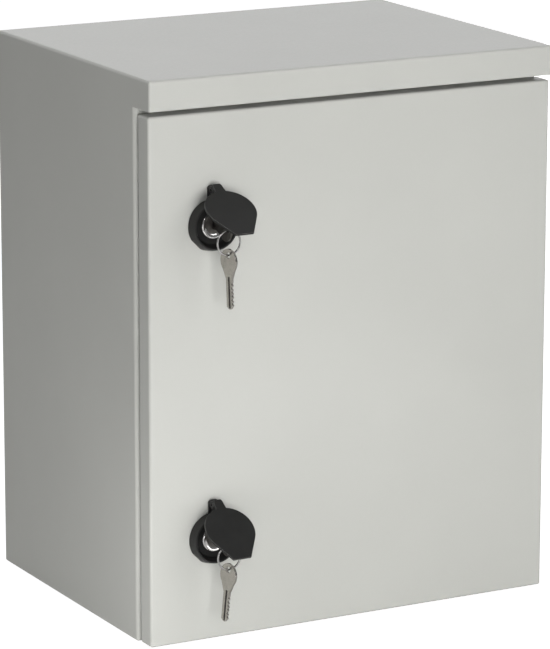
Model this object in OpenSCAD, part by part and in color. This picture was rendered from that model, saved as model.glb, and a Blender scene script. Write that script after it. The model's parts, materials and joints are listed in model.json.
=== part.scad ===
// Wall-mounted steel switchboard cabinet with a hinged door and two keyed cam locks.
// X runs to the right, Y to the back and Z up. The origin is the middle of the base.

/* [Cabinet] */
// Overall width of the body
cab_w = 400; // [360:10:600]
// Overall height of the body
cab_h = 500; // [460:10:800]
// Depth from the door's front face to the back panel
cab_d = 300; // [220:10:400]
// Thickness of the folded sheet steel
sheet = 1.5; // [1.2:0.1:2]
// Outside bend radius of the body's front edges
body_bend = 4.5; // [3:0.5:6]
// Width of the front flange around the opening
flange_w = 21.5; // [20:0.5:26]
// How far the sealing lip stands forward of the flange
lip_h = 15; // [13:1:16]

/* [Rain hood] */
// Height of the hood's front lip
hood_h = 26.2; // [20:0.2:40]
// How far the hood stands in front of the door
hood_over = 4; // [2:1:12]

/* [Door] */
// Depth of the door's folded edges
door_depth = 19; // [17:1:20]
// Gap between the door's folded edges and the body's flange
door_gap = 5; // [4:1:6]
// Gap between the door and the hood's lower edge
top_gap = 5; // [4:1:8]
// Outside bend radius of the door's edges
door_bend = 2.5; // [2:0.5:4]
// Height of a hinge's centre above the door's lower edge or below its upper edge
hinge_inset = 70; // [50:5:100]

/* [Locks] */
// Distance from the cabinet's middle to the lock axes
lock_x = -139; // [-145:1:-130]
// Height of the upper lock
lock_upper_z = 371; // [300:1:390]
// Height of the lower lock
lock_lower_z = 93; // [80:1:150]
// Radius of the bezel where it meets the door
bezel_r = 23; // [22:0.5:25]
// Depth of the bezel
bezel_h = 8.5; // [8:0.5:9.5]
// Angle by which the upper dust cap stands open
cap_upper_open = 57.5; // [48:0.5:100]
// Angle by which the lower dust cap stands open
cap_lower_open = 49.5; // [48:0.5:100]
// Length of the cams from the lock axis
cam_len = 45; // [43:1:50]

/* [Keys] */
// Radius of a key's round head
head_r = 10.5; // [9.5:0.5:11]
// Overall length of a key
key_len = 52; // [48:1:56]
// Thickness of a key
key_t = 2; // [1.8:0.1:2]
// Radius of the key ring at the middle of its wire
ring_r = 10.8; // [10.5:0.1:12]

/* [Inside] */
// Width of the mounting plate
plate_w = 340; // [300:10:350]
// Height of the mounting plate
plate_h = 420; // [380:10:430]
// Distance from the back panel to the mounting plate
plate_standoff = 26; // [20:1:40]

/* [Hidden] */
$fn = 48;
eps = 0.01;

// Planes of the cabinet, along Y
front_y = -cab_d / 2;
back_y = cab_d / 2;
door_back_y = front_y + door_depth;
flange_y = door_back_y + door_gap;
flange_in_y = flange_y + sheet;
lip_y = flange_y - lip_h;
hood_y = front_y - hood_over;
skin_in_y = front_y + sheet;

// Body
half_w = cab_w / 2;
open_w = cab_w - 2 * flange_w;
open_z0 = 20;
hood_z = cab_h - hood_h;
open_z1 = hood_z - 24;
edge_r = 2.5;
hood_lap = 10;

// Door
door_w = cab_w - 2;
door_z0 = 1;
door_z1 = hood_z - top_gap;
gasket_w = 10;
gasket_over = 6;
gasket_out = open_w / 2 + gasket_over;
gasket_z0 = open_z0 - gasket_over;
gasket_z1 = open_z1 + gasket_over;
gasket_y = lip_y - 0.3;
gasket_corner = 8;

// Hinges
hinge_x = half_w - 8;
hinge_y = door_back_y - 8.5;
hinge_lower_z = door_z0 + hinge_inset;
hinge_upper_z = door_z1 - hinge_inset;
pin_r = 2.5;
knuckle_r = 4.3;
run_fit = 0.05;
knuckle_half = 8;
leaf_half = 18;
leaf_play = 0.4;
leaf_t = 1.5;
leaf_in = 5.5;
leaf_out = 5;
leaf_over = 6;
web_half = 1.5;
bracket_t = 2;
bracket_in = 10.5;
bracket_out = 2.5;
bracket_half = 25;
pin_tail = 1;
pin_head_r = 3.6;
pin_head_h = 1.5;
notch_half = 27;
notch_in = 3;
notch_front = 4;

// M4 screws of the hinge brackets
hinge_screw_dz = 18;
hinge_screw_in = 4.5;
hinge_screw_r = 2;
hinge_screw_head_r = 3.6;
hinge_screw_head_h = 2;
hinge_nut_across = 7;
hinge_nut_t = 2.6;

// Wall fixing holes, and the studs that carry the mounting plate
wall_x = half_w - 15;
wall_dz = cab_h / 2 - 15;
wall_hole_r = 4.25;
plate_y = back_y - sheet - plate_standoff;
plate_t = 2;
plate_fold = 10;
fold_end = 25;
stud_r = 4;
stud_reach = 14;
stud_play = 0.2;
spacer_r = 8;
stud_washer_t = 1.6;
stud_nut_across = 13;
stud_nut_t = 6.5;
stud_x = plate_w / 2 - 15;
stud_dz = plate_h / 2 - 15;
mid_z = cab_h / 2;

// Cable entry in the floor
entry_w = 220;
entry_d = 110;
entry_y = -5;
rim = 20;
gland_z = sheet + 3;
gland_screw_r = 2.5;
gland_head_r = 4.8;
gland_head_h = 2.8;
recess_long = 8;
recess_wide = 1.2;
recess_deep = 1;
grommet_r = 15;
grommet_pitch = 70;
grommet_lip = 3;
grommet_lip_t = 2;
grommet_wall = 1.6;
cone_h = 6;
cone_r = 9;
nipple_r = 7;
nipple_h = 4;

// Earth studs
earth_r = 2.95;
earth_pitch_r = 2.7;
earth_washer_r = 7;
earth_washer_t = 1.6;
earth_nut_across = 10;
earth_nut_t = 5;
earth_runout = 0.4;
body_earth = [half_w - sheet, -40, 60];
door_earth = [130, skin_in_y, 60];

// Lock stack, as distances forward of the door's front face
seal_t = 1;
bezel_floor = 3;
bezel_taper = 2.2;
bottom_flat = 1.6;
side_flat = 0.7;
recess_back_r = 16.5;
recess_front_r = 19.8;
head_f = 5;
head_back_r = 12.2;
head_front_r = 11.4;
dish_depth = 0.8;
dish_rise = 2.4;
plug_f = 4.4;
barrel_r = 10;
plug_r = 7.5;
slot_h = 8.6;
slot_t = key_t + 0.3;
lock_nut_across = 27;
lock_nut_t = 5;
cam_y = flange_in_y + 1.4;
cam_t = 2.5;
cam_w = 16;
cam_corner = 5;
square_half = 4;
square_fit = 0.05;
cam_screw_r = 2.5;
cam_washer_r = 8;
cam_washer_t = 1;
cam_head_across = 8;
cam_head_h = 3.5;

// Dust cap and its hinge, measured from the lock axis
cap_pin_f = 6.5;
cap_pin_z = 31.8;
cap_pin_r = 1.25;
cap_in_f = seal_t + bezel_h + 0.8;
cap_t = 2;
cap_r = 22.8;
cap_tab = 8.5;
cap_tip = 29.3;
cap_rise = 0.8;
neck_half = 4.8;
neck_end = 0.8;
ear_half = 2.2;
ear_r = 3.4;
ear_gap = 0.3;
ear_root = 18;
lug_f = 2.8;
lug_top = 35;
lug_root = 15;
lug_round = 3;

// Keys: distances run from the end of the head towards the tip
key_end_f = 37;
key_dz = 1;
hole_v = 5.5;
hole_r = 2.8;
shoulder_v = 26;
blade_half = 4;
cut_pitch = 3.4;
groove_x = -1.1;
groove_w = 2.2;
groove_depth = 0.6;
wire_r = 0.75;
ring_f = key_end_f - hole_v;
spare_turn = 11;
spare_upper_lean = 4;
spare_lower_lean = -1;
spare_upper_swing = 0;
spare_lower_swing = 5;

// ---------- helpers ----------

// Rectangle from corner a to corner b with its four corners rounded to radius r
module round_rect(a, b, r) {
    translate([a[0] + r, a[1]]) square([b[0] - a[0] - 2 * r, b[1] - a[1]]);
    translate([a[0], a[1] + r]) square([b[0] - a[0], b[1] - a[1] - 2 * r]);
    for (x = [a[0] + r, b[0] - r], y = [a[1] + r, b[1] - r]) translate([x, y]) circle(r);
}

// Rectangle whose width is 2 * half, centred on X, from v0 to v1
module strip(half, v0, v1) { translate([-half, v0]) square([2 * half, v1 - v0]); }

// Box from corner a to corner b
module block(a, b) { translate(a) cube(b - a); }

// Extrudes a drawing of X and Z along Y, from y0 to y1
module along_y(y0, y1) { translate([0, y1, 0]) rotate([90, 0, 0]) linear_extrude(y1 - y0) children(); }

// Extrudes a drawing of Y and Z along X, from x0 to x1
module along_x(x0, x1) {
    translate([x0, 0, 0]) rotate([90, 0, 90]) linear_extrude(x1 - x0) children();
}

// Extrudes a drawing of X and Y along Z, from z0 to z1
module along_z(z0, z1) { translate([0, 0, z0]) linear_extrude(z1 - z0) children(); }

// Cylinder along Y at p, from y0 to y1, p being its X and Z
module rod_y(p, y0, y1, r) { translate([p[0], y1, p[1]]) rotate([90, 0, 0]) cylinder(r = r, h = y1 - y0); }

// Cylinder along X at p, from x0 to x1, p being its Y and Z
module rod_x(p, x0, x1, r) { translate([x0, p[0], p[1]]) rotate([0, 90, 0]) cylinder(r = r, h = x1 - x0); }

// Tube along Y
module tube_y(p, y0, y1, r_out, r_in) {
    difference() {
        rod_y(p, y0, y1, r_out);
        rod_y(p, y0 - 1, y1 + 1, r_in);
    }
}

// Hexagon nut along Y
module nut_y(p, y0, y1, across, r_in) {
    difference() {
        translate([p[0], y1, p[1]]) rotate([90, 0, 0]) cylinder(r = across / sqrt(3), h = y1 - y0, $fn = 6);
        rod_y(p, y0 - 1, y1 + 1, r_in);
    }
}

// Solid box with rounded long edges and rounded front edges, set in by d from the body's outside
module body_solid(d) {
    r = body_bend - d;
    intersection() {
        along_y(flange_y + d, back_y) round_rect([d - half_w, d], [half_w - d, cab_h - d], edge_r - d / 2);
        along_z(0, cab_h) round_rect([d - half_w, flange_y + d], [half_w - d, back_y + 20], r);
        along_x(-half_w, half_w) round_rect([flange_y + d, d], [back_y + 20, cab_h + 20], r);
    }
}

// Solid door blank, set in by d from the door's outside
module door_solid(d) {
    r = door_bend - d;
    x = door_w / 2 - d;
    intersection() {
        along_y(front_y + d, door_back_y) round_rect([-x, door_z0 + d], [x, door_z1 - d], r);
        along_z(0, cab_h) round_rect([-x, front_y + d], [x, back_y], r);
        along_x(-half_w, half_w) round_rect([front_y + d, door_z0 + d], [back_y, door_z1 - d], r);
    }
}

// ---------- body ----------

module hood() {
    difference() {
        intersection() {
            along_y(hood_y, flange_y + body_bend)
                round_rect([-half_w, hood_z - hood_lap], [half_w, cab_h], edge_r);
            along_z(hood_z, cab_h) round_rect([-half_w, hood_y], [half_w, back_y], edge_r);
            along_x(-half_w, half_w) round_rect([hood_y, 0], [back_y, cab_h], edge_r);
        }
        block([sheet - half_w, hood_y + sheet, 0], [half_w - sheet, back_y, cab_h - sheet]);
    }
}

module sealing_lip() {
    x = open_w / 2;
    difference() {
        block([-x - sheet, lip_y, open_z0 - sheet], [x + sheet, flange_in_y, open_z1 + sheet]);
        block([-x, lip_y - 1, open_z0], [x, back_y, open_z1]);
    }
}

module body_shell() {
    color("gainsboro") difference() {
        union() {
            difference() {
                body_solid(0);
                difference() {
                    body_solid(sheet);
                    block([-half_w, back_y, 0], [half_w, back_y + 1, cab_h]);
                }
                block([-open_w / 2, flange_y - 1, open_z0], [open_w / 2, flange_in_y + 1, open_z1]);
            }
            hood();
            sealing_lip();
        }
        translate([-entry_w / 2, entry_y - entry_d / 2, -1]) cube([entry_w, entry_d, sheet + 2]);
        gland_screw_places() cylinder(r = gland_screw_r + run_fit, h = 20, center = true);
        hinge_screw_places() rod_y([0, 0], flange_y - 1, flange_in_y + 1, hinge_screw_r);
    }
}

module rear_panel() {
    x = half_w - sheet;
    color("gainsboro") difference() {
        along_y(back_y - sheet, back_y) round_rect([-x, sheet], [x, cab_h - sheet], edge_r - sheet / 2);
        for (x = [-wall_x, wall_x], z = [mid_z - wall_dz, mid_z + wall_dz])
            rod_y([x, z], back_y - 5, back_y + 5, wall_hole_r);
    }
}

// ---------- mounting plate ----------

module at_studs() {
    for (x = [-stud_x, stud_x], z = [mid_z - stud_dz, mid_z + stud_dz]) translate([x, 0, z]) children();
}

module mounting_plate() {
    x = plate_w / 2;
    z0 = mid_z - plate_h / 2;
    z1 = mid_z + plate_h / 2;
    color("silver") difference() {
        union() {
            along_y(plate_y - plate_t, plate_y) round_rect([-x, z0], [x, z1], plate_t);
            for (left = [-x, x - plate_t])
                block([left, plate_y - plate_t, z0 + fold_end],
                    [left + plate_t, plate_y + plate_fold, z1 - fold_end]);
        }
        at_studs() rod_y([0, 0], plate_y - 10, plate_y + 10, stud_r + 0.5);
    }
}

module plate_studs() {
    color("silver") at_studs() rod_y([0, 0], plate_y - stud_reach, back_y - sheet, stud_r);
}

module plate_spacers() {
    color("silver") at_studs() tube_y([0, 0], plate_y, back_y - sheet, spacer_r, stud_r + stud_play);
}

module plate_washers() {
    front = plate_y - plate_t;
    color("silver") at_studs() tube_y([0, 0], front - stud_washer_t, front, spacer_r, stud_r + stud_play);
}

module plate_nuts() {
    seat = plate_y - plate_t - stud_washer_t;
    color("silver") at_studs() nut_y([0, 0], seat - stud_nut_t, seat, stud_nut_across, stud_r);
}

// ---------- cable entry ----------

module gland_screw_places() {
    for (x = [-1, 0, 1], y = [-1, 1])
        translate([x * (entry_w / 2 + rim / 2), entry_y + y * (entry_d + rim) / 2, 0]) children();
}

module gland_sheet(z0, z1) {
    along_z(z0, z1) translate([0, entry_y])
        round_rect([-entry_w / 2 - rim, -entry_d / 2 - rim], [entry_w / 2 + rim, entry_d / 2 + rim], 4);
}

module gland_gasket() {
    color("dimgray") difference() {
        gland_sheet(sheet, gland_z);
        translate([-entry_w / 2 - 1, entry_y - entry_d / 2 - 1, 0]) cube([entry_w + 2, entry_d + 2, 20]);
        gland_screw_places() cylinder(r = gland_screw_r + 0.5, h = 20, center = true);
    }
}

module gland_plate() {
    color("gainsboro") difference() {
        gland_sheet(gland_z, gland_z + sheet);
        gland_screw_places() cylinder(r = gland_screw_r + 0.2, h = 40, center = true);
        at_grommets() cylinder(r = grommet_r, h = 40, center = true);
    }
}

module gland_screws() {
    top = gland_z + sheet;
    cut_z = top + gland_head_h - recess_deep;
    color("silver") gland_screw_places() difference() {
        union() {
            translate([0, 0, 0.3]) cylinder(r = gland_screw_r, h = top - 0.3);
            translate([0, 0, top]) cylinder(r = gland_head_r, h = gland_head_h);
        }
        translate([-recess_long / 2, -recess_wide / 2, cut_z]) cube([recess_long, recess_wide, 2]);
        translate([-recess_wide / 2, -recess_long / 2, cut_z]) cube([recess_wide, recess_long, 2]);
    }
}

module at_grommets() {
    for (i = [-1, 0, 1]) translate([i * grommet_pitch, entry_y, 0]) children();
}

// Rubber grommet with a stepped, closed membrane that is cut to suit the cable
module cable_grommets() {
    top = gland_z + sheet;
    cone_z = top + grommet_lip_t;
    nipple_z = cone_z + cone_h;
    bore_r = grommet_r - grommet_lip;
    lip_r = grommet_r + grommet_lip;
    color("dimgray") at_grommets() difference() {
        union() {
            translate([0, 0, gland_z - grommet_lip_t]) cylinder(r = lip_r, h = grommet_lip_t);
            translate([0, 0, gland_z]) cylinder(r = grommet_r, h = sheet);
            translate([0, 0, top]) cylinder(r = lip_r, h = grommet_lip_t);
            translate([0, 0, cone_z]) cylinder(r1 = grommet_r - 1, r2 = cone_r, h = cone_h);
            translate([0, 0, nipple_z]) cylinder(r = nipple_r, h = nipple_h);
        }
        translate([0, 0, gland_z - 3]) cylinder(r = bore_r, h = 3 + sheet + grommet_lip_t);
        translate([0, 0, cone_z - 0.1]) cylinder(r1 = bore_r, r2 = cone_r - grommet_wall, h = cone_h - 1.3);
        translate([0, 0, nipple_z - 2]) cylinder(r = nipple_r - grommet_wall, h = nipple_h + 0.8);
    }
}

// ---------- earth points ----------

// Earth stud along Z, washer and nut, drawn from the sheet's surface. Inside the nut the
// stud is drawn at the thread's pitch radius, where it and the nut meet.
module earth_stud(length) {
    seat = earth_washer_t + earth_nut_t + earth_runout;
    cylinder(r = earth_pitch_r, h = seat);
    translate([0, 0, seat]) cylinder(r = earth_r, h = length - seat);
}

module earth_washer() {
    difference() {
        cylinder(r = earth_washer_r, h = earth_washer_t);
        translate([0, 0, -1]) cylinder(r = earth_r + 0.25, h = earth_washer_t + 2);
    }
}

module earth_nut() {
    translate([0, 0, earth_washer_t]) difference() {
        cylinder(r = earth_nut_across / sqrt(3), h = earth_nut_t, $fn = 6);
        translate([0, 0, -1]) cylinder(r = earth_pitch_r, h = earth_nut_t + 2);
    }
}

module at_body_earth() { translate(body_earth) rotate([0, -90, 0]) children(); }
module at_door_earth() { translate(door_earth) rotate([-90, 0, 0]) children(); }

module body_earth_stud() { color("goldenrod") at_body_earth() earth_stud(22); }
module body_earth_washer() { color("silver") at_body_earth() earth_washer(); }
module body_earth_nut() { color("goldenrod") at_body_earth() earth_nut(); }
module door_earth_stud() { color("goldenrod") at_door_earth() earth_stud(20); }
module door_earth_washer() { color("silver") at_door_earth() earth_washer(); }
module door_earth_nut() { color("goldenrod") at_door_earth() earth_nut(); }

// ---------- hinges ----------

module hinge_screw_places() {
    for (z = [hinge_lower_z, hinge_upper_z], dz = [-hinge_screw_dz, hinge_screw_dz])
        translate([hinge_x - hinge_screw_in, 0, z + dz]) children();
}

// Bracket on the body: a plate on the flange, a web and one knuckle
module hinge_bracket(z) {
    plate_f = flange_y - bracket_t;
    color("silver") difference() {
        union() {
            block([hinge_x - bracket_in, plate_f, z - bracket_half],
                [hinge_x + bracket_out, flange_y, z + bracket_half]);
            block([hinge_x - web_half, hinge_y, z - knuckle_half],
                [hinge_x + web_half, plate_f + eps, z + knuckle_half]);
            translate([hinge_x, hinge_y, z - knuckle_half]) cylinder(r = knuckle_r, h = 2 * knuckle_half);
        }
        translate([hinge_x, hinge_y, z - 40]) cylinder(r = pin_r + run_fit, h = 80);
        for (dz = [-hinge_screw_dz, hinge_screw_dz])
            rod_y([hinge_x - hinge_screw_in, z + dz], plate_f - 1, flange_y + 1, hinge_screw_r + 0.1);
    }
}

module hinge_screws() {
    plate_f = flange_y - bracket_t;
    color("silver") hinge_screw_places() {
        rod_y([0, 0], plate_f, flange_in_y + 3, hinge_screw_r);
        rod_y([0, 0], plate_f - hinge_screw_head_h, plate_f, hinge_screw_head_r);
        nut_y([0, 0], flange_in_y, flange_in_y + hinge_nut_t, hinge_nut_across, hinge_screw_r - 0.1);
    }
}

// Leaf on the door: a plate on the skin's inner face, two webs and two knuckles
module hinge_leaf(z) {
    end = leaf_half + leaf_over;
    color("silver") difference() {
        union() {
            block([hinge_x - leaf_in, skin_in_y, z - end], [hinge_x + leaf_out, skin_in_y + leaf_t, z + end]);
            for (s = [-1, 1]) {
                mid = z + s * (knuckle_half + leaf_play + leaf_half) / 2;
                half = (leaf_half - knuckle_half - leaf_play) / 2;
                block([hinge_x - web_half, skin_in_y, mid - half], [hinge_x + web_half, hinge_y, mid + half]);
                translate([hinge_x, hinge_y, mid - half]) cylinder(r = knuckle_r, h = 2 * half);
            }
        }
        translate([hinge_x, hinge_y, z - 40]) cylinder(r = pin_r, h = 80);
    }
}

module hinge_pin(z) {
    foot = z - leaf_half - pin_tail;
    top = z + leaf_half;
    color("silver") {
        translate([hinge_x, hinge_y, foot]) cylinder(r = pin_r, h = top - foot);
        translate([hinge_x, hinge_y, top]) cylinder(r = pin_head_r, h = pin_head_h);
    }
}

// ---------- door ----------

module door_panel() {
    color("gainsboro") difference() {
        door_solid(0);
        intersection() {
            door_solid(sheet);
            block([-half_w, skin_in_y, 0], [half_w, door_back_y + 1, cab_h]);
        }
        for (z = [hinge_lower_z, hinge_upper_z])
            block([door_w / 2 - notch_in, front_y + notch_front, z - notch_half],
                [half_w + 5, back_y, z + notch_half]);
        for (z = [lock_lower_z, lock_upper_z]) rod_y([lock_x, z], front_y - 1, front_y + 5, barrel_r + 0.2);
    }
}

module door_gasket() {
    x = gasket_out;
    color("dimgray") along_y(skin_in_y, gasket_y) difference() {
        round_rect([-x, gasket_z0], [x, gasket_z1], gasket_corner);
        round_rect([gasket_w - x, gasket_z0 + gasket_w], [x - gasket_w, gasket_z1 - gasket_w], 3);
    }
}

// ---------- locks ----------

// Y of a plane that stands f in front of the door's face
function fwd(f) = front_y - f;

module lock_seal(z) {
    color("dimgray") tube_y([lock_x, z], fwd(seal_t), front_y, bezel_r - 1, barrel_r + 0.2);
}

// Cone along Y that narrows towards the front, from distance f0 to f1 in front of the door
module front_cone(z, f0, f1, r0, r1) {
    translate([lock_x, fwd(f0), z]) rotate([90, 0, 0]) cylinder(r1 = r0, r2 = r1, h = f1 - f0);
}

// Upright behind the cap's pin, as wide as the cap's neck
module lug_outline() {
    corner = neck_half - lug_round;
    strip(neck_half, lug_root, lug_top - lug_round);
    strip(corner, lug_root, lug_top);
    for (x = [-corner, corner]) translate([x, lug_top - lug_round]) circle(lug_round);
}

// Outline in Y and Z of the ear that carries the cap's pin: a round end on a leg
module ear_outline() {
    front = fwd(cap_pin_f + ear_r);
    translate([fwd(cap_pin_f), cap_pin_z]) circle(ear_r);
    translate([front, ear_root]) square([fwd(seal_t) - front, cap_pin_z - ear_root]);
}

// Round bezel outline with a flat at the bottom and one at each side of it
module bezel_outline() {
    intersection() {
        circle(bezel_r + 1);
        translate([-30, bottom_flat - bezel_r]) square([60, 60]);
        rotate(45) translate([side_flat - bezel_r, side_flat - bezel_r]) square([60, 60]);
    }
}

module lock_bezel(z) {
    top_f = seal_t + bezel_h;
    color([0.2, 0.2, 0.2]) difference() {
        union() {
            intersection() {
                front_cone(z, seal_t, top_f, bezel_r, bezel_r - bezel_taper);
                along_y(fwd(top_f), fwd(seal_t)) translate([lock_x, z]) bezel_outline();
            }
            along_y(fwd(lug_f), fwd(seal_t)) translate([lock_x, z]) lug_outline();
            along_x(lock_x - ear_half, lock_x + ear_half) translate([0, z]) ear_outline();
        }
        front_cone(z, bezel_floor, top_f + 1, recess_back_r, recess_front_r);
        rod_y([lock_x, z], fwd(20), front_y + 1, barrel_r + 0.1);
        rod_x([fwd(cap_pin_f), z + cap_pin_z], lock_x - 10, lock_x + 10, cap_pin_r);
    }
}

module lock_barrel(z) {
    color([0.8, 0.8, 0.82]) difference() {
        union() {
            front_cone(z, bezel_floor, head_f, head_back_r, head_front_r);
            rod_y([lock_x, z], fwd(bezel_floor) - eps, cam_y - 2.2, barrel_r);
        }
        rod_y([lock_x, z], fwd(20), back_y, plug_r + run_fit);
        front_cone(z, plug_f - dish_depth, head_f + 1, plug_r + run_fit, plug_r + dish_rise);
    }
}

module lock_nut(z) {
    color("silver") nut_y([lock_x, z], skin_in_y, skin_in_y + lock_nut_t, lock_nut_across, barrel_r);
}

module cap_pin(z) {
    color("silver") rod_x([fwd(cap_pin_f), z + cap_pin_z], lock_x - neck_half, lock_x + neck_half, cap_pin_r);
}

// Square shank along Y at a lock's axis
module square_shank(z, y0, y1, half) { block([lock_x - half, y0, z - half], [lock_x + half, y1, z + half]); }

module lock_plug(z) {
    slot_y = fwd(key_end_f - key_len) + 1.5;
    color([0.75, 0.75, 0.72]) difference() {
        union() {
            rod_y([lock_x, z], fwd(plug_f), cam_y - 1.9, plug_r);
            square_shank(z, cam_y - 2, cam_y + cam_t, square_half);
        }
        block([lock_x - slot_t / 2, fwd(20), z + key_dz - slot_h / 2],
            [lock_x + slot_t / 2, slot_y, z + key_dz + slot_h / 2]);
        rod_y([lock_x, z], cam_y - 8, cam_y + 10, cam_screw_r);
    }
}

// Cam that reaches behind the body's flange when it is turned to the side
module lock_cam(z) {
    half = cam_w / 2;
    inset = half - cam_corner;
    color("silver") difference() {
        along_y(cam_y, cam_y + cam_t) translate([lock_x, z]) {
            circle(half + 1);
            strip(half, cam_corner - cam_len, 0);
            strip(inset, -cam_len, 0);
            for (x = [-inset, inset]) translate([x, cam_corner - cam_len]) circle(cam_corner);
        }
        square_shank(z, cam_y - 1, cam_y + 9, square_half + square_fit);
    }
}

module cam_screw(z) {
    seat = cam_y + cam_t;
    head = seat + cam_washer_t;
    color("silver") {
        rod_y([lock_x, z], cam_y - 7, seat, cam_screw_r);
        rod_y([lock_x, z], seat, head, cam_washer_r);
        translate([lock_x, head + cam_head_h, z]) rotate([90, 0, 0])
            cylinder(r = cam_head_across / sqrt(3), h = cam_head_h, $fn = 6);
    }
}

// ---------- dust caps ----------

// Turns what is drawn closed about the cap's pin, so that it stands open
module swing_open(z, angle) {
    p = [lock_x, fwd(cap_pin_f), z + cap_pin_z];
    translate(p) rotate([-angle, 0, 0]) translate(-p) children();
}

// Round plate whose sides run straight down to a narrow finger tab
module cap_outline(r) {
    drop = cap_tip + cap_rise;
    d = norm([cap_tab, drop]);
    t = acos(r / d) - atan2(drop, cap_tab);
    translate([0, cap_rise]) {
        circle(r, $fn = 96);
        polygon([[cap_tab, -drop], [r * cos(t), r * sin(t)], [-r * cos(t), r * sin(t)], [-cap_tab, -drop]]);
    }
}

// Neck of the cap, which ends in a curve round the pin
module cap_neck(z) {
    pin = [fwd(cap_pin_f), z + cap_pin_z];
    front = fwd(cap_in_f + cap_t);
    x0 = lock_x - neck_half;
    x1 = lock_x + neck_half;
    intersection() {
        block([x0, front, z + lug_root], [x1, fwd(cap_in_f), pin[1] + neck_end]);
        union() {
            rod_x(pin, x0, x1, pin[0] - front);
            block([x0, front, z + lug_root - 1], [x1, front_y, pin[1]]);
        }
    }
}

module dust_cap(z, angle) {
    cheek = neck_half - ear_half - ear_gap;
    color([0.22, 0.22, 0.21]) swing_open(z, angle) difference() {
        union() {
            along_y(fwd(cap_in_f + cap_t), fwd(cap_in_f)) translate([lock_x, z]) cap_outline(cap_r);
            cap_neck(z);
            for (x = [lock_x - neck_half, lock_x + ear_half + ear_gap]) along_x(x, x + cheek) {
                translate([fwd(cap_in_f) - eps, z + cap_pin_z - ear_r])
                    square([cap_in_f - cap_pin_f, ear_r + neck_end]);
                translate([fwd(cap_pin_f), z + cap_pin_z]) circle(ear_r);
            }
        }
        rod_x([fwd(cap_pin_f), z + cap_pin_z], lock_x - 10, lock_x + 10, cap_pin_r + run_fit);
    }
}

// ---------- keys ----------

// Straight-sided plate of the key's thickness, standing in X and Z, with its outline in points
module key_plate(points) {
    rotate([90, 0, 0]) translate([0, 0, -key_t / 2]) linear_extrude(key_t) polygon(points);
}

// Round hole or disc through the key's thickness, v below the end of the head
module key_disc(v, r, t) { translate([0, 0, -v]) rotate([90, 0, 0]) cylinder(r = r, h = t, center = true); }

// Side of the square that cuts tooth gap i into the blade
function cut_side(i) = 1.9 + 0.5 * ((i * 2) % 3);

// Key hanging in X and Z: the end of its head at the origin, its tip at z = -key_len
module key_body() {
    side = head_r * 0.9;
    difference() {
        union() {
            key_disc(head_r, head_r, key_t);
            key_plate([[side, -head_r * 1.35], [blade_half, -shoulder_v],
                [-blade_half, -shoulder_v], [-side, -head_r * 1.35]]);
            key_plate([[-blade_half, 2 - shoulder_v], [-blade_half, 2 - key_len], [-1, -key_len],
                [1, -key_len], [blade_half, 3 - key_len], [blade_half, 2 - shoulder_v]]);
        }
        key_disc(hole_v, hole_r, key_t + 2);
        for (i = [0 : 5]) translate([blade_half + 0.4, 0, -shoulder_v - 4 - i * cut_pitch])
            rotate([0, 45, 0]) cube([cut_side(i), key_t + 2, cut_side(i)], center = true);
        for (s = [-1, 1]) translate([groove_x, s * key_t / 2 - groove_depth, 1 - key_len])
            cube([groove_w, 2 * groove_depth, key_len - shoulder_v + 1]);
    }
}

module key(z) {
    color([0.78, 0.76, 0.72]) translate([lock_x, fwd(key_end_f), z + key_dz])
        rotate([90, 0, 0]) rotate([0, 0, 90]) key_body();
}

module key_ring(z) {
    color([0.85, 0.85, 0.85]) translate([lock_x, fwd(ring_f), z + key_dz - ring_r]) rotate([90, 0, 0])
        rotate_extrude($fn = 64) translate([ring_r, 0]) circle(wire_r, $fn = 24);
}

module spare_key(z, lean, swing) {
    color([0.78, 0.76, 0.72]) translate([lock_x, fwd(ring_f), z + key_dz - 2 * ring_r])
        rotate([-lean, swing, 0]) rotate([0, 0, spare_turn - 90]) translate([0, 0, hole_v]) key_body();
}

// ---------- nodes ----------

body_shell();
rear_panel();
mounting_plate();
plate_studs();
plate_spacers();
plate_washers();
plate_nuts();
gland_plate();
gland_gasket();
gland_screws();
cable_grommets();
body_earth_stud();
body_earth_washer();
body_earth_nut();
hinge_bracket(hinge_upper_z);  // hinge_bracket_upper
hinge_bracket(hinge_lower_z);  // hinge_bracket_lower
hinge_screws();
door_panel();
door_gasket();
hinge_leaf(hinge_upper_z);  // hinge_leaf_upper
hinge_leaf(hinge_lower_z);  // hinge_leaf_lower
hinge_pin(hinge_upper_z);  // hinge_pin_upper
hinge_pin(hinge_lower_z);  // hinge_pin_lower
door_earth_stud();
door_earth_washer();
door_earth_nut();
lock_seal(lock_upper_z);  // lock_seal_upper
lock_seal(lock_lower_z);  // lock_seal_lower
lock_bezel(lock_upper_z);  // lock_bezel_upper
lock_bezel(lock_lower_z);  // lock_bezel_lower
lock_barrel(lock_upper_z);  // lock_barrel_upper
lock_barrel(lock_lower_z);  // lock_barrel_lower
lock_nut(lock_upper_z);  // lock_nut_upper
lock_nut(lock_lower_z);  // lock_nut_lower
cap_pin(lock_upper_z);  // cap_pin_upper
cap_pin(lock_lower_z);  // cap_pin_lower
lock_plug(lock_upper_z);  // lock_plug_upper
lock_plug(lock_lower_z);  // lock_plug_lower
lock_cam(lock_upper_z);  // lock_cam_upper
lock_cam(lock_lower_z);  // lock_cam_lower
cam_screw(lock_upper_z);  // cam_screw_upper
cam_screw(lock_lower_z);  // cam_screw_lower
key(lock_upper_z);  // key_upper
key(lock_lower_z);  // key_lower
dust_cap(lock_upper_z, cap_upper_open);  // dust_cap_upper
dust_cap(lock_lower_z, cap_lower_open);  // dust_cap_lower
key_ring(lock_upper_z);  // key_ring_upper
key_ring(lock_lower_z);  // key_ring_lower
spare_key(lock_upper_z, spare_upper_lean, spare_upper_swing);  // spare_key_upper
spare_key(lock_lower_z, spare_lower_lean, spare_lower_swing);  // spare_key_lower
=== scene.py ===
import json
import math

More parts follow.
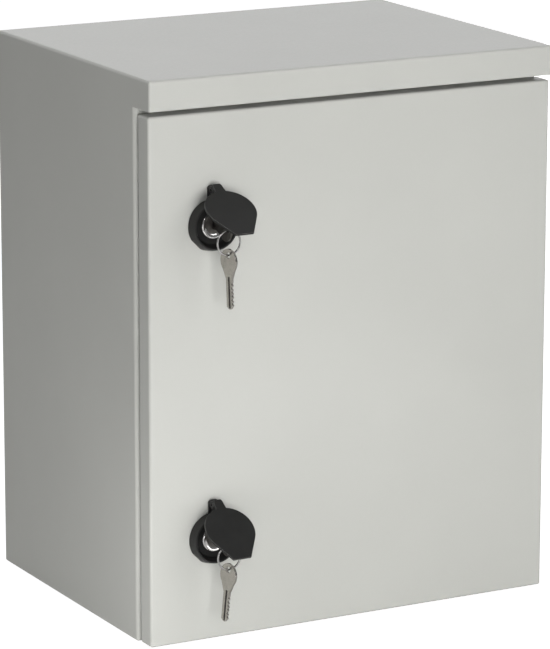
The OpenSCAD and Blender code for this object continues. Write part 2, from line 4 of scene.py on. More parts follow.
import bmesh
import bpy
from mathutils import Matrix, Vector


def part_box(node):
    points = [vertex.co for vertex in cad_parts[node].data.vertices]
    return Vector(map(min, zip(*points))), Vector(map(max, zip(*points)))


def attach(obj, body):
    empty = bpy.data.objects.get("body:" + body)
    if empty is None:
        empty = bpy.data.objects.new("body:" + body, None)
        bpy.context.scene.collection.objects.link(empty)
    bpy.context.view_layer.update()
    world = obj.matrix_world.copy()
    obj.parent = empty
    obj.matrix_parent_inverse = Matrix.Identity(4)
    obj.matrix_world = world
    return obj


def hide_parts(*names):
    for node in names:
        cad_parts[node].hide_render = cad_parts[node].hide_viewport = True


# Looks of the wall-mounted steel switchboard cabinet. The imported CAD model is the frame: X right, Y back,
# Z up, metres. Shapes are drawn here in millimetres and scaled by MM.

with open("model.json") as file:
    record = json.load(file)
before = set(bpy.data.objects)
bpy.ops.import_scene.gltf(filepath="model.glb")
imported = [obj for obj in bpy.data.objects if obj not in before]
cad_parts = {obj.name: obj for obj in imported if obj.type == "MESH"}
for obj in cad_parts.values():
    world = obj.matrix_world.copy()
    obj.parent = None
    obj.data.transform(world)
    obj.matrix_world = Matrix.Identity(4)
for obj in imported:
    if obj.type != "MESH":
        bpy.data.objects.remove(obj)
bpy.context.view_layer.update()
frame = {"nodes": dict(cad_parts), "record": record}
MM = 0.001
TAU = 2 * math.pi

SIDES = ("upper", "lower")
body_of = {n: b for b, ns in frame["record"]["behaviour"]["bodies"].items() for n in ns}
slot_of = {part["node"]: part["material_slot"] for part in frame["record"]["subparts"]}


# ---------------------------------------------------------------- materials


class Look:
    """A procedural material: patterns in the row frame feed one Principled shader."""

    def __init__(self, name, **sockets):
        self.material = bpy.data.materials.new(name)
        self.material.use_nodes = True
        self.tree = self.material.node_tree
        self.shader = self.tree.nodes["Principled BSDF"]
        self.coords = self.tree.nodes.new("ShaderNodeTexCoord").outputs["Object"]
        for socket, value in sockets.items():
            self.shader.inputs[socket.replace("_", " ")].default_value = value

    def add(self, kind, inputs, **settings):
        node = self.tree.nodes.new(kind)
        for key, value in settings.items():
            setattr(node, key, value)
        for key, value in inputs.items():
            if isinstance(value, bpy.types.NodeSocket):
                self.tree.links.new(value, node.inputs[key])
            else:
                node.inputs[key].default_value = value
        return node

    def stretched(self, scale):
        """Coordinates scaled by X, Y and Z, so that a pattern runs along one of them."""
        return self.add("ShaderNodeMapping", {"Vector": self.coords, "Scale": scale}).outputs["Vector"]

    def noise(self, size, detail=2.0, vector=None):
        """Noise whose blobs are about size millimetres wide."""
        inputs = {"Vector": vector or self.coords, "Scale": 1 / (size * MM), "Detail": detail}
        return self.add("ShaderNodeTexNoise", inputs).outputs["Fac"]

    def cells(self, size, output="Distance"):
        """Cells about size millimetres wide: the distance to each middle, or a random colour for each."""
        inputs = {"Vector": self.coords, "Scale": 1 / (size * MM)}
        return self.add("ShaderNodeTexVoronoi", inputs).outputs[output]

    def spread(self, value, low, high, start=0.3, end=0.7):
        inputs = {"Value": value, "From Min": start, "From Max": end, "To Min": low, "To Max": high}
        return self.add("ShaderNodeMapRange", inputs).outputs["Result"]

    def tint(self, share, a, b):
        """Colour that goes from a to b as share goes from 0 to 1. Either may be a colour or a socket."""
        node = self.add("ShaderNodeMix", {}, data_type="RGBA")
        for socket, value in (("Factor_Float", share), ("A_Color", a), ("B_Color", b)):
            target = next(s for s in node.inputs if s.identifier == socket)
            if isinstance(value, bpy.types.NodeSocket):
                self.tree.links.new(value, target)
            else:
                target.default_value = value if isinstance(value, float) else (*value, 1.0)
        return next(s for s in node.outputs if s.identifier == "Result_Color")

    def bump(self, height, depth, under=None):
        """Normal of a relief whose full range is depth millimetres, laid over another relief."""
        inputs = {"Height": height, "Distance": depth * MM, "Strength": 1.0}
        if under is not None:
            inputs["Normal"] = under
        return self.add("ShaderNodeBump", inputs).outputs["Normal"]

    def on_top(self, height, level):
        """A relief that keeps its whole height on upward faces and the share level on upright ones."""
        normal = self.tree.nodes["Texture Coordinate"].outputs["Normal"]
        up = self.add("ShaderNodeSeparateXYZ", {"Vector": normal}).outputs["Z"]
        share = self.spread(up, level, 1.0, 0.2, 0.8)
        return self.add("ShaderNodeMath", {0: height, 1: share}, operation="MULTIPLY").outputs["Value"]

    def finish(self, colour, roughness, normal):
        for socket, value in (("Base Color", colour), ("Roughness", roughness), ("Normal", normal)):
            self.tree.links.new(value, self.shader.inputs[socket])
        return self.material


def grey(v, warm=0.0):
    """A grey of brightness v whose blue is lowered by the share warm."""
    return (v, v * (1 - warm * 0.15), v * (1 - warm))


def powder_coat():
    """Light grey powder coat: fine orange peel, with slow changes of shade and gloss from the spraying."""
    look = Look("powder_coat", Specular_IOR_Level=0.5)
    cloud = look.noise(160, 3)
    peel = look.noise(2.6, 2)
    grain = look.noise(0.9, 1)
    base = look.tint(look.spread(cloud, 0.0, 1.0), (0.575, 0.578, 0.545), (0.6, 0.603, 0.568))
    colour = look.tint(look.spread(grain, 0.0, 0.06), base, (0.45, 0.452, 0.43))
    rough = look.spread(peel, 0.24, 0.27)
    flow = look.bump(look.noise(38, 1), 0.03)
    orange_peel = look.bump(look.on_top(peel, 0.3), 0.08, flow)
    return look.finish(colour, rough, look.bump(look.on_top(grain, 0.33), 0.03, orange_peel))


def galvanised():
    """Galvanised sheet with a small spangle and faint rolling lines."""
    look = Look("galvanised", Metallic=1.0)
    flake = look.cells(9, "Color")
    lines = look.noise(1.2, 2, look.stretched((1.0, 1.0, 0.03)))
    colour = look.tint(flake, (0.46, 0.47, 0.48), (0.62, 0.63, 0.64))
    colour = look.tint(look.spread(lines, 0.0, 0.35), colour, (0.42, 0.43, 0.44))
    rough = look.spread(flake, 0.34, 0.5, 0.0, 1.0)
    return look.finish(colour, rough, look.bump(lines, 0.006, look.bump(flake, 0.01)))


def zinc():
    """Bright zinc plating on pressed and turned steel: bluish, with dull patches and fine scratches."""
    look = Look("zinc_plating", Metallic=1.0)
    patch = look.noise(7, 3)
    scratch = look.noise(0.25, 2, look.stretched((1.0, 0.2, 0.12)))
    colour = look.tint(look.spread(patch, 0.0, 1.0), (0.5, 0.52, 0.54), (0.66, 0.67, 0.67))
    colour = look.tint(look.spread(scratch, 0.0, 0.3), colour, (0.36, 0.37, 0.38))
    relief = look.bump(scratch, 0.005, look.bump(patch, 0.02))
    return look.finish(colour, look.spread(patch, 0.42, 0.24), relief)


def foam():
    """Poured closed-cell foam: nearly black, with a skin full of small pits."""
    look = Look("closed_cell_foam", Specular_IOR_Level=0.2)
    pits = look.cells(0.7)
    swell = look.noise(5, 2)
    colour = look.tint(look.spread(pits, 0.0, 1.0, 0.1, 0.6), (0.016, 0.016, 0.018), (0.05, 0.05, 0.053))
    colour = look.tint(look.spread(swell, 0.0, 0.5), colour, (0.075, 0.075, 0.078))
    return look.finish(colour, look.spread(swell, 0.8, 0.95), look.bump(pits, 0.12, look.bump(swell, 0.25)))


def rubber():
    """Moulded rubber, matt, with a bloom of talc in the hollows."""
    look = Look("moulded_rubber", Specular_IOR_Level=0.3)
    bloom = look.noise(6, 3)
    skin = look.noise(0.5, 2)
    colour = look.tint(look.spread(bloom, 0.0, 1.0), (0.024, 0.024, 0.025), (0.055, 0.054, 0.053))
    return look.finish(colour, look.spread(bloom, 0.6, 0.8), look.bump(skin, 0.02))


def brass():
    """Machined brass that has begun to tarnish."""
    look = Look("brass", Metallic=1.0)
    tarnish = look.noise(4, 3)
    tool = look.noise(0.3, 2, look.stretched((0.15, 0.15, 1.0)))
    colour = look.tint(look.spread(tarnish, 0.0, 1.0), (0.72, 0.53, 0.22), (0.44, 0.29, 0.1))
    return look.finish(colour, look.spread(tarnish, 0.24, 0.42), look.bump(tool, 0.006))


def black_plastic(name="satin_black", shade=0.014, shine=0.35):
    """Satin black moulded plastic: a fine spark-eroded grain and a few finger marks."""
    look = Look(name, Specular_IOR_Level=shine)
    grain = look.noise(0.32, 2)
    marks = look.noise(9, 3)
    colour = look.tint(look.spread(marks, 0.0, 1.0), grey(shade * 0.8, 0.04), grey(shade * 1.2, 0.04))
    return look.finish(colour, look.spread(marks, 0.4, 0.5), look.bump(grain, 0.012))


def chrome(name="chrome_plate", shade=1.0):
    """Polished chrome plate with turning marks and smudges."""
    look = Look(name, Metallic=1.0)
    smudge = look.noise(3, 3)
    turning = look.noise(0.12, 1)
    clean, smudged = ([v * shade for v in c] for c in ((0.8, 0.79, 0.78), (0.68, 0.67, 0.66)))
    colour = look.tint(look.spread(smudge, 0.0, 1.0), clean, smudged)
    return look.finish(colour, look.spread(smudge, 0.07, 0.16), look.bump(turning, 0.0006))


def nickel(name="nickel_plate", shade=1.0, dull=0.0):
    """Nickel plate: warm grey, brushed along the key's blade and rubbed by use."""
    look = Look(name, Metallic=1.0)
    rub = look.noise(5, 3)
    brush = look.noise(0.2, 2, look.stretched((1.0, 0.6, 0.15)))
    bright, rubbed, line = ([v * shade for v in (c, c * 0.95, c * 0.88)] for c in (0.72, 0.58, 0.42))
    colour = look.tint(look.spread(rub, 0.0, 1.0), bright, rubbed)
    colour = look.tint(look.spread(brush, 0.0, 0.4), colour, line)
    return look.finish(colour, look.spread(rub, 0.13 + dull, 0.26 + dull), look.bump(brush, 0.003))


finish_of = {
    "painted_steel": powder_coat(),
    "zinc_plate": galvanised(),
    "zinc_hardware": zinc(),
    "foam_seal": foam(),
    "rubber": rubber(),
    "brass": brass(),
    "black_plastic": black_plastic(),
    "chrome": chrome(),
    "nickel": nickel(shade=0.76),
}
ring_steel = chrome("ring_steel", 0.7)
# Darker copies of nickel for the plug and the key in the lock: painted shade and dark reflection from the
# dust cap over them.
plug_painted_shade_nickel = nickel("plug_painted_shade_nickel", 0.25, 0.3)
key_painted_shade_nickel = nickel("key_painted_shade_nickel", 0.2, 0.3)
# Darker nickel for the spare key's groove: painted shade in the groove.
groove_painted_shade = nickel("groove_painted_shade", 0.12, 0.4)
# Lighter black for the dust cap's rounded edges: a painted highlight where they catch the light.
edge_painted_highlight = black_plastic("edge_painted_highlight", 0.16)
# A slightly lighter copy of the black plastic for the bezel: painted sheen on its outer wall.
bezel_painted_sheen_black = black_plastic("bezel_painted_sheen_black", 0.016, 0.45)
# Darker black for the walls and floor of the bezel's recess: painted shade under the cap.
recess_painted_shade = black_plastic("recess_painted_shade", 0.011, 0.22)


# ---------------------------------------------------------------- shapes


def stand_for(mesh, name, node):
    """Makes the object that is shown in place of a CAD node: it rides on the node's body with its finish."""
    piece = bpy.data.objects.new(name, mesh)
    bpy.context.scene.collection.objects.link(piece)
    mesh.materials.clear()
    mesh.materials.append(finish_of[slot_of[node]])
    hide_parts(node)
    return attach(piece, body_of[node])


def smooth(mesh, angle):
    """Smooth shading that stays crisp across edges sharper than angle degrees."""
    mesh.shade_smooth()
    mesh.set_sharp_from_angle(angle=math.radians(angle))


def softened(node, name, width, angle=28, segments=2, finish=None, edge=None, reshape=None):
    """A copy of a CAD node with its sharp edges rounded by width millimetres. It may have a finish of its
    own, and another one on the rounded edges, which may paint a highlight there. The function reshape may
    move its points first."""
    mesh = frame["nodes"][node].data.copy()
    bm = bmesh.new()
    bm.from_mesh(mesh)
    bmesh.ops.remove_doubles(bm, verts=bm.verts, dist=2e-6)
    if reshape:
        reshape(bm)
    bmesh.ops.dissolve_limit(bm, angle_limit=math.radians(0.5), verts=bm.verts, edges=bm.edges)
    bm.to_mesh(mesh)
    bm.free()
    piece = stand_for(mesh, name, node)
    smooth(mesh, 2 * angle)
    rounding = piece.modifiers.new("rounding", "BEVEL")
    rounding.width = width * MM
    rounding.segments = segments
    rounding.limit_method = "ANGLE"
    rounding.angle_limit = math.radians(angle)
    if finish:
        mesh.materials.clear()
        mesh.materials.append(finish)
    if edge:
        mesh.materials.append(edge)
        rounding.material = 1
    flat_faces = piece.modifiers.new("flat_faces", "WEIGHTED_NORMAL")
    flat_faces.weight = 100
    return piece


def placed(origin, axis, turn=0.0):
    """Puts a shape drawn in millimetres round its own Z axis at origin, with that axis along axis."""
    upright = Vector(axis).to_track_quat("Z", "Y").to_matrix().to_4x4()
    turned = Matrix.Rotation(turn, 4, "Z") @ Matrix.Scale(MM, 4)
    return Matrix.Translation(Vector(origin) * MM) @ upright @ turned


class Shape:
    """Rings of points joined into closed skins, and made into one mesh at the end."""

    def __init__(self):
        self.verts = []
        self.faces = []

    def rings(self, rings, place=None, loop=False):
        """Joins rings of equal length. With loop the last joins the first, else both ends are capped."""
        start = len(self.verts)
        n = len(rings[0])
        place = place or Matrix.Scale(MM, 4)
        for ring in rings:
            self.verts += [place @ Vector(p) for p in ring]
        for i in range(len(rings) if loop else len(rings) - 1):
            a = start + i * n
            b = start + (i + 1) % len(rings) * n
            self.faces += [(a + j, a + (j + 1) % n, b + (j + 1) % n, b + j) for j in range(n)]
        if not loop:
            self.faces.append(tuple(range(start, start + n)))
            self.faces.append(tuple(range(start + (len(rings) - 1) * n, start + len(rings) * n)))
        return self

    def lathe(self, profile, place, around=48, loop=True):
        """Turns a profile of (radius, height) points about Z. With loop the profile is a closed outline."""
        return self.rings(
            [[(r * math.cos(TAU * j / around), r * math.sin(TAU * j / around), h) for j in range(around)]
             for r, h in profile], place, loop)

    def thread(self, place, radius, pitch, length, bore=0.0, lead=0.8):
        """A threaded rod, or a threaded sleeve round a bore. Both ends are chamfered by lead."""
        around, steps = 32, 6
        depth = 0.6 * pitch
        rows = math.ceil(length / pitch + 1) * steps + 4
        start = len(self.verts)
        for i in range(-steps - 2, rows):
            for j in range(around):
                h = pitch * (i / steps + j / around)
                past = max(-h, h - length)
                h = min(max(h, 0.0), length)
                wave = abs((i % steps) / steps * 2 - 1)
                r = min(radius - depth * min(1.0, max(0.0, 1.25 * (1 - wave) - 0.1)),
                        radius - lead + min(h, length - h))
                if past > pitch / steps * 1.001:
                    r = bore
                a = TAU * j / around
                self.verts.append(place @ Vector((r * math.cos(a), r * math.sin(a), h)))
        count = rows + steps + 2
        for i in range(count):
            for j in range(around):
                right = (i, j + 1) if j + 1 < around else (i + steps, 0)
                if max(i, right[0]) + 1 >= count:
                    continue
                ids = [(i, j), right, (right[0] + 1, right[1]), (i + 1, j)]
                self.faces.append(tuple(start + row * around + col for row, col in ids))
        if bore:
            last = start + (count - 1) * around
            self.faces += [(start + j, start + (j + 1) % around, last + (j + 1) % around, last + j)
                           for j in range(around)]
        return self

    def hexagon(self, place, across, height, bore):
        """A hexagon nut, or a bolt's head where bore is 0, with its corners turned off at 30 degrees."""
        around = 72
        turned = 0.475 * across
        rows = [0.0, 0.22, 0.45, 0.8]
        rows = [(r, r) for r in rows] + [(height - r, r) for r in reversed(rows)]
        rings = []
        for h, inset in rows:
            ring = []
            for j in range(around):
                a = TAU * j / around
                flat = across / 2 / math.cos((a + TAU / 12) % (TAU / 6) - TAU / 12)
                r = min(flat, turned + inset * math.sqrt(3))
                ring.append((r * math.cos(a), r * math.sin(a), h))
            rings.append(ring)
        if bore:
            for h, r in ((height, bore + 0.5), (height - 0.5, bore), (0.5, bore), (0.0, bore + 0.5)):
                rings.append([(r * math.cos(TAU * j / around), r * math.sin(TAU * j / around), h)
                              for j in range(around)])
        return self.rings(rings, place, loop=bool(bore))

    def washer(self, place, outer, bore, height):
        """A flat washer with its edges rolled off on the upper side."""
        soft = min(0.35, height / 3)
        profile = [(outer, 0), (outer, height - soft), (outer - soft * 0.3, height - soft * 0.3),
                   (outer - soft, height), (bore + soft, height), (bore + soft * 0.3, height - soft * 0.3),
                   (bore, height - soft), (bore, 0)]
        return self.lathe(profile, place)

    def mesh(self, name, angle=35):
        mesh = bpy.data.meshes.new(name)
        mesh.from_pydata([tuple(v) for v in self.verts], [], self.faces)
        bm = bmesh.new()
        bm.from_mesh(mesh)
        bmesh.ops.remove_doubles(bm, verts=bm.verts, dist=2e-6)
        bmesh.ops.dissolve_degenerate(bm, edges=bm.edges, dist=1e-6)
        bmesh.ops.recalc_face_normals(bm, faces=bm.faces)
        bm.to_mesh(mesh)
        bm.free()
        smooth(mesh, angle)
        return mesh


# ---------------------------------------------------------------- the frame's own planes, in millimetres


def span(node):
    """Lowest and highest corner of a CAD node, in millimetres."""
    low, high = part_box(node)
    return low / MM, high / MM


def middle(node):
    low, high = span(node)
    return (low + high) / 2


LOCK_X = middle("lock_plug_upper").x
LOCK_Z = {side: middle(f"lock_seal_{side}").z for side in SIDES}
FRONT_Y = span("door_panel")[0].y
SKIN_Y = span("door_gasket")[0].y


# ---------------------------------------------------------------- sheet metal


softened("body_shell", "body_sheet", 0.45)
softened("rear_panel", "back_sheet", 0.4)
softened("door_panel", "door_skin", 0.45)
softened("gland_plate", "gland_sheet", 0.4)
softened("mounting_plate", "device_plate", 0.5)
for side in SIDES:
    softened(f"hinge_bracket_{side}", f"hinge_knuckle_{side}", 0.35)
    softened(f"hinge_leaf_{side}", f"hinge_plate_{side}", 0.35)
    softened(f"lock_cam_{side}", f"cam_arm_{side}", 0.3)


# ---------------------------------------------------------------- fasteners


BACK = (0, 1, 0)
FORTH = (0, -1, 0)


def plate_fixings():
    """The four welded studs of the mounting plate, each with its spacer, washer and nut."""
    low, high = span("plate_studs")
    r = 4.0
    spots = [(x, z) for x in (low.x + r, high.x - r) for z in (low.z + r, high.z - r)]
    studs, spacers, washers, nuts = Shape(), Shape(), Shape(), Shape()
    space_low, space_high = span("plate_spacers")
    washer_low, washer_high = span("plate_washers")
    nut_low, nut_high = span("plate_nuts")
    for x, z in spots:
        studs.thread(placed((x, high.y, z), FORTH), r, 1.25, high.y - low.y)
        spacers.washer(placed((x, space_high.y, z), FORTH), 8, r + 0.2, space_high.y - space_low.y)
        washers.washer(placed((x, washer_high.y, z), FORTH), 8, r + 0.2, washer_high.y - washer_low.y)
        nuts.hexagon(placed((x, nut_high.y, z), FORTH, x * z), 13, nut_high.y - nut_low.y, r - 0.3)
    stand_for(studs.mesh("stud_threads"), "stud_threads", "plate_studs")
    stand_for(spacers.mesh("spacer_tubes"), "spacer_tubes", "plate_spacers")
    stand_for(washers.mesh("flat_washers"), "flat_washers", "plate_washers")
    stand_for(nuts.mesh("hex_nuts"), "hex_nuts", "plate_nuts")


def earth_point(where, axis):
    """A brass earth stud on the body or on the door, with its washer and nut, growing along axis."""
    along = Vector(axis)
    stud, washer, nut = (f"{where}_earth_{part}" for part in ("stud", "washer", "nut"))
    low, high = span(stud)
    centre = middle(stud)
    length = abs((high - low).dot(along))
    base = centre - along * length / 2
    thick = abs((span(washer)[1] - span(washer)[0]).dot(along))
    tall = abs((span(nut)[1] - span(nut)[0]).dot(along))
    stand_for(Shape().thread(placed(base, axis), 2.95, 1.0, length).mesh(stud), f"{stud}_thread", stud)
    stand_for(Shape().washer(placed(base, axis), 7, 3.2, thick).mesh(washer), f"{washer}_ring", washer)
    nut_base = base + along * thick
    stand_for(Shape().hexagon(placed(nut_base, axis, 0.4), 10, tall, 2.8).mesh(nut), f"{nut}_hex", nut)


plate_fixings()
earth_point("body", (-1, 0, 0))
earth_point("door", BACK)
softened("gland_screws", "gland_screw_set", 0.35)
softened("hinge_screws", "hinge_screw_set", 0.3)


# ---------------------------------------------------------------- seals


def round_rect_path(low, high, radius, per_corner=8):
    """Points of a rounded rectangle in X and Z, each with the outward direction there."""
    path = []
    corners = [(high.x - radius, high.z - radius), (low.x + radius, high.z - radius),
               (low.x + radius, low.z + radius), (high.x - radius, low.z + radius)]
    for quarter, (x, z) in enumerate(corners):
        for i in range(per_corner + 1):
            a = (quarter + i / per_corner) * TAU / 4
            out = Vector((math.cos(a), 0, math.sin(a)))
            path.append((Vector((x, 0, z)) + out * radius, out))
    return path


def gasket():
    """The door's poured foam bead: crowned, with the line that the body's lip has pressed into it."""
    low, high = span("door_gasket")
    half = 5.0
    tall = high.y - low.y
    inset = Vector((half, 0, half))
    path = round_rect_path(low + inset, high - inset, 5.5)
    profile = []
    steps = 22
    for i in range(steps + 1):
        u = math.cos(math.pi * i / steps)
        crown = tall * (1 - abs(u) ** 5) ** 0.55
        pressed = 0.8 * math.exp(-((u * half + 0.25) / 1.0) ** 2)
        profile.append((u * half, max(crown - pressed, 0.0)))
    rings = [[point + out * u + Vector((0, low.y + h, 0)) for u, h in profile] for point, out in path]
    stand_for(Shape().rings(rings, loop=True).mesh("gasket", 60), "foam_bead", "door_gasket")


gasket()
softened("gland_gasket", "gland_seal", 0.3)
softened("cable_grommets", "grommet_set", 0.5)


# ---------------------------------------------------------------- locks and keys


def barrel(side):
    """Chromed lock barrel: a turned head in the bezel's recess, and a threaded sleeve behind it."""
    node = f"lock_barrel_{side}"
    low, high = span(node)
    z = LOCK_Z[side]
    place = placed((LOCK_X, low.y, z), BACK)
    head = 2.0
    bore = 7.56
    dome = [TAU / 4 * i / 8 for i in range(9)]
    edge = [(10.2 + 2.0 * math.sin(a), head * (1 - math.cos(a))) for a in dome]
    sleeve_from = SKIN_Y + 0.2 - low.y
    outline = edge + [(10.0, head), (10.0, sleeve_from), (bore, sleeve_from), (bore, 0.8)]
    shape = Shape().lathe(outline, place, around=96)
    sleeve = placed((LOCK_X, low.y + sleeve_from, z), BACK)
    shape.thread(sleeve, 10, 1.5, high.y - low.y - sleeve_from, bore)
    stand_for(shape.mesh(node), f"barrel_head_{side}", node)


def lock_nut(side):
    node = f"lock_nut_{side}"
    low, high = span(node)
    place = placed((LOCK_X, low.y, LOCK_Z[side]), BACK)
    stand_for(Shape().hexagon(place, 27, high.y - low.y, 9.6).mesh(node), f"backing_nut_{side}", node)


# Dust cap: half widths of its neck, and heights above the pin in the plane of its plate
NECK_HALF = 4.3
NECK_CORE = 2.4
NECK_ROOT = -6
NECK_CURVE_START = -4.0
NECK_CURVE_LENGTH = 4.9
NECK_CUTS = (-4.0, -2.6, -1.4, -0.35)
CHEEK_REACH = 3.4


def cap_pin(side):
    """The dust cap's pin, with both ends domed over."""
    node = f"cap_pin_{side}"
    low, high = span(node)
    r = (high.z - low.z) / 2
    length = 2 * NECK_HALF * MM
    dome = [(r * math.sin(TAU / 4 * i / 4), r / 2 * (1 - math.cos(TAU / 4 * i / 4))) for i in range(1, 5)]
    profile = dome + [(radius, length - h) for radius, h in reversed(dome)]
    centre = middle(node)
    place = placed((centre.x - length / 2, centre.y, centre.z), (1, 0, 0))
    stand_for(Shape().lathe(profile, place, 24, loop=False).mesh(node), f"cap_rivet_{side}", node)


def split_ring(side):
    """Two flat coils of spring wire lying side by side, with the step where one passes to the other."""
    node = f"key_ring_{side}"
    low, high = span(node)
    centre = (low + high) / 2
    wire = (high.y - low.y) / 2
    radius = (high.z - low.z) / 2 - wire
    half_gap = math.radians(11)
    first = math.radians(140)
    steps = 150
    around = 14
    thin = wire * 0.49
    rings = []
    for i in range(steps + 1):
        t = i / steps
        a = first + half_gap + (2 * TAU - 2 * half_gap) * t
        past = (a - first - TAU) / half_gap
        shift = thin * math.sin(TAU / 4 * max(-1.0, min(1.0, past)))
        taper = min(1.0, 0.35 + 24 * min(t, 1 - t))
        out = Vector((math.cos(a), 0, math.sin(a)))
        ring = []
        for k in range(around):
            b = TAU * k / around
            across = wire * 0.97 * taper * math.copysign(abs(math.cos(b)) ** 0.7, math.cos(b))
            side_way = thin * 0.98 * math.copysign(abs(math.sin(b)) ** 0.7, math.sin(b))
            ring.append(centre + out * (radius + across) + Vector((0, shift + side_way, 0)))
        rings.append(ring)
    ring = stand_for(Shape().rings(rings).mesh(node, 50), f"split_ring_{side}", node)
    ring.data.materials[0] = ring_steel


def repaint(piece, finish, test):
    """Gives the faces of a piece that pass the test a finish of their own; here that is a darker one which
    paints shade into the bezel's recess and into the key's groove.
    """
    piece.data.materials.append(finish)
    last = len(piece.data.materials) - 1
    for face in piece.data.polygons:
        if test(face):
            face.material_index = last


RECESS_REACH = 20.2
RECESS_LEVEL = 4.0


def in_recess(face, side):
    """True for the walls and the floor of the bezel's recess, which the light hardly reaches."""
    away = face.center - Vector((LOCK_X, 0, LOCK_Z[side])) * MM
    flat = Vector((away.x, 0, away.z))
    inward = face.normal.dot(flat) < -0.1 * flat.length
    return flat.length < RECESS_REACH * MM and (inward or away.y > (FRONT_Y - RECESS_LEVEL) * MM)


def round_neck(bm, side):
    """Rounds the corners of a dust cap's neck, as seen from the front of its plate."""
    pin = middle(f"cap_pin_{side}") * MM
    bm.normal_update()
    plate = max(bm.faces, key=lambda face: face.calc_area()).normal
    front = plate * (-1 if plate.y > 0 else 1)
    up = Vector((0, abs(front.z), abs(front.y)))
    for height in NECK_CUTS:
        everything = bm.verts[:] + bm.edges[:] + bm.faces[:]
        bmesh.ops.bisect_plane(bm, geom=everything, dist=1e-6, plane_co=pin + up * height * MM, plane_no=up)
    for vert in bm.verts:
        away = (vert.co - pin) / MM
        height, ahead = away.dot(up), away.dot(front)
        if height < NECK_ROOT:
            continue
        rise = 0.0
        if ahead > CHEEK_REACH:
            rise = min(1.0, max(0.0, (height - NECK_CURVE_START) / NECK_CURVE_LENGTH))
        reach = NECK_CORE + (NECK_HALF - NECK_CORE) * math.sqrt(1 - rise ** 2)
        vert.co.x = pin.x + max(-reach, min(reach, away.x)) * MM


def groove_test(key):
    """Finds a key's groove: faces parallel to its plate that lie below the surface."""
    plate = max(key.data.polygons, key=lambda face: face.area)
    middle_of = sum((face.center for face in key.data.polygons if face.area > 0.7 * plate.area), Vector()) / 2
    reach = abs((plate.center - middle_of).dot(plate.normal))

    def below(face):
        depth = abs((face.center - middle_of).dot(plate.normal))
        return abs(face.normal.dot(plate.normal)) > 0.98 and 0.2 * reach < depth < 0.9 * reach

    return below


def cam_bolt(side):
    """Hexagon screw with a washer, holding the cam on the plug."""
    node = f"cam_screw_{side}"
    low, high = span(node)
    z = LOCK_Z[side]
    head, plate = 3.5, 1.0
    back = high.y - head - plate
    shape = Shape().thread(placed((LOCK_X, low.y, z), BACK), 2.5, 0.8, back - low.y)
    shape.washer(placed((LOCK_X, back, z), BACK), 8, 2.0, plate)
    shape.hexagon(placed((LOCK_X, back + plate, z), BACK, 0.3), 8, head, 0)
    stand_for(shape.mesh(node), f"cam_bolt_{side}", node)


for side in SIDES:
    barrel(side)
    lock_nut(side)
    cap_pin(side)
    split_ring(side)
    cam_bolt(side)
    softened(f"lock_seal_{side}", f"lock_gasket_{side}", 0.25)
    # The bezel takes the lighter black: painted sheen.
    bezel = softened(f"lock_bezel_{side}", f"bezel_{side}", 0.45, segments=3, finish=bezel_painted_sheen_black)
    # The recess takes the darker black: painted shade.
    repaint(bezel, recess_painted_shade, lambda face: in_recess(face, side))
    # The plug takes the darker nickel: painted shade under the dust cap.
    softened(f"lock_plug_{side}", f"plug_{side}", 0.25, finish=plug_painted_shade_nickel)
    # The cap's rounded edges take the lighter black: a painted highlight.
    softened(f"dust_cap_{side}", f"cap_{side}", 0.6, segments=3, edge=edge_painted_highlight,
             reshape=lambda bm: round_neck(bm, side))
    # The key in the lock takes the darker nickel: painted shade and dark reflection under the dust cap.
    softened(f"key_{side}", f"key_in_lock_{side}", 0.18, finish=key_painted_shade_nickel)
    hanging = softened(f"spare_key_{side}", f"key_on_ring_{side}", 0.18)
    # The groove's faces get the darker nickel: painted shade.
    repaint(hanging, groove_painted_shade, groove_test(hanging))
    softened(f"hinge_pin_{side}", f"pin_{side}", 0.5, segments=3)

for name, node in frame["nodes"].items():
    node.data.materials.clear()
    node.data.materials.append(finish_of[slot_of[name]])


# ---------------------------------------------------------------- studio


def camera():
    """A long lens, level with the upper part of the door and to its left."""
    azimuth, elevation, roll = (math.radians(a) for a in (-28.41, 13.49, 0.10))
    back = Vector((math.sin(azimuth) * math.cos(elevation), -math.cos(azimuth) * math.cos(elevation),
                   math.sin(elevation)))
    right = Vector((math.cos(azimuth), math.sin(azimuth), 0))
    up = back.cross(right)
    axis_x = math.cos(roll) * right + math.sin(roll) * up
    axis_y = -math.sin(roll) * right + math.cos(roll) * up
    data = bpy.data.cameras.new("camera")
    data.lens = 217.15
    data.clip_end = 60
    made = bpy.data.objects.new("camera", data)
    bpy.context.scene.collection.objects.link(made)
    turned = Matrix((axis_x, axis_y, back)).transposed().to_4x4()
    made.matrix_world = Matrix.Translation((-1.6454, -3.0488, 1.0671)) @ turned
    bpy.context.scene.camera = made


def softbox(name, place, target, power, width, height, glossy=True):
    data = bpy.data.lights.new(name, "AREA")
    data.shape = "RECTANGLE"
    data.size, data.size_y = width, height
    data.energy = power
    made = bpy.data.objects.new(name, data)
    bpy.context.scene.collection.objects.link(made)
    made.location = place
    made.visible_camera = False
    made.visible_glossy = glossy
    made.rotation_euler = (Vector(place) - Vector(target)).to_track_quat("Z", "Y").to_euler()


def split_by_ray(tree, kind, otherwise, chosen):
    """Mixes two shaders: the chosen one for rays of that kind, and the other one for the rest."""
    path = tree.nodes.new("ShaderNodeLightPath")
    mix = tree.nodes.new("ShaderNodeMixShader")
    tree.links.new(path.outputs[kind], mix.inputs["Fac"])
    tree.links.new(otherwise.outputs[0], mix.inputs[1])
    tree.links.new(chosen.outputs[0], mix.inputs[2])
    return mix


def background(tree, strength, colour=(1, 1, 1)):
    node = tree.nodes.new("ShaderNodeBackground")
    node.inputs["Color"].default_value = (*colour, 1)
    node.inputs["Strength"].default_value = strength
    return node


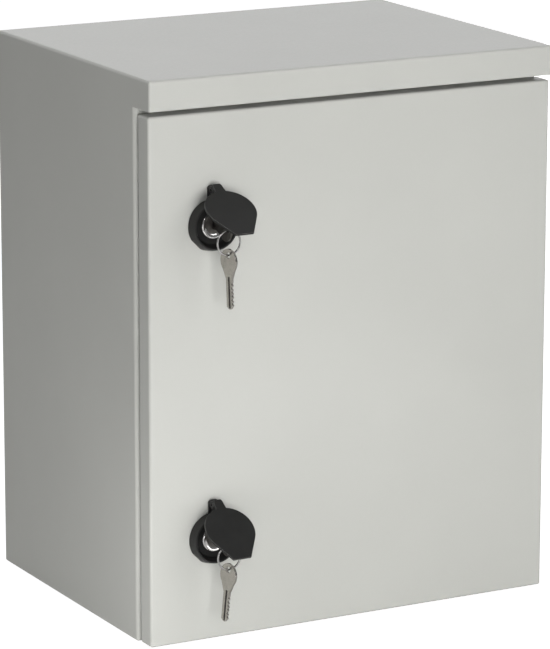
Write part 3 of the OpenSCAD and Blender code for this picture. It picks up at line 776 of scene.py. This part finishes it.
def white_room():
    """The sky: white to the eye, dimmer as a light, and dark towards the front in reflections."""
    world = bpy.data.worlds.new("studio")
    world.use_nodes = True
    bpy.context.scene.world = world
    tree = world.node_tree
    tree.nodes.remove(tree.nodes["Background"])
    mirrored = background(tree, 1.0)
    place = tree.nodes.new("ShaderNodeTexCoord")
    parts = tree.nodes.new("ShaderNodeSeparateXYZ")
    fade = tree.nodes.new("ShaderNodeMapRange")
    for socket, value in (("From Min", -0.5), ("From Max", 0.6), ("To Min", 0.16), ("To Max", 0.95)):
        fade.inputs[socket].default_value = value
    tree.links.new(place.outputs["Generated"], parts.inputs["Vector"])
    tree.links.new(parts.outputs["Y"], fade.inputs["Value"])
    tree.links.new(fade.outputs["Result"], mirrored.inputs["Strength"])
    lit = split_by_ray(tree, "Is Diffuse Ray", mirrored, background(tree, 0.09, (0.97, 0.98, 1.0)))
    seen = split_by_ray(tree, "Is Camera Ray", lit, background(tree, 1.0))
    tree.links.new(seen.outputs[0], tree.nodes["World Output"].inputs["Surface"])


def pale_floor():
    """A floor that looks white, with a faint shadow, and throws back less light than it seems to."""
    bpy.ops.mesh.primitive_circle_add(vertices=64, radius=14, fill_type="NGON", location=(0, 0, -0.0005))
    floor = bpy.context.object
    floor.name = "floor"
    material = bpy.data.materials.new("pale_floor")
    material.use_nodes = True
    tree = material.node_tree
    tree.nodes.clear()
    output = tree.nodes.new("ShaderNodeOutputMaterial")
    dull = tree.nodes.new("ShaderNodeBsdfDiffuse")
    dull.inputs["Color"].default_value = (0.74, 0.74, 0.73, 1)
    paper = tree.nodes.new("ShaderNodeBsdfDiffuse")
    paper.inputs["Color"].default_value = (0.5, 0.5, 0.5, 1)
    glow = tree.nodes.new("ShaderNodeEmission")
    glow.inputs["Strength"].default_value = 0.95
    white = tree.nodes.new("ShaderNodeAddShader")
    tree.links.new(paper.outputs[0], white.inputs[0])
    tree.links.new(glow.outputs[0], white.inputs[1])
    shine = tree.nodes.new("ShaderNodeEmission")
    shine.inputs["Strength"].default_value = 0.1
    mirrored = tree.nodes.new("ShaderNodeAddShader")
    tree.links.new(dull.outputs[0], mirrored.inputs[0])
    tree.links.new(shine.outputs[0], mirrored.inputs[1])
    lit = split_by_ray(tree, "Is Glossy Ray", dull, mirrored)
    tree.links.new(split_by_ray(tree, "Is Camera Ray", lit, white).outputs[0], output.inputs["Surface"])
    floor.data.materials.append(material)


def studio():
    """A white room with soft boxes in front of the object and one above it."""
    white_room()
    pale_floor()
    aim = (0, -0.1, 0.25)
    softbox("key_right", (1.3, -2.7, 1.7), aim, 17, 1.3, 1.3)
    softbox("key_left", (-0.66, -2.4, 0.33), aim, 37, 1.1, 1.1, glossy=False)
    softbox("spark", (-1.1, -2.0, 1.3), aim, 3.6, 0.28, 0.28)
    softbox("overhead", (-0.6, 0.3, 2.4), aim, 11.5, 1.6, 1.6)
    softbox("low_left", (-0.38, -0.28, 0.03), (-0.2, -0.13, 0.05), 0.2, 0.3, 0.05, glossy=False)
    softbox("low_front", (0.05, -0.75, 0.02), (0.05, -0.15, 0.1), 0.5, 0.8, 0.1)
    softbox("back_fill", (1.4, 2.6, 0.5), aim, 26, 1.4, 1.4, glossy=False)
    bpy.context.scene.view_settings.view_transform = "Standard"


camera()
studio()
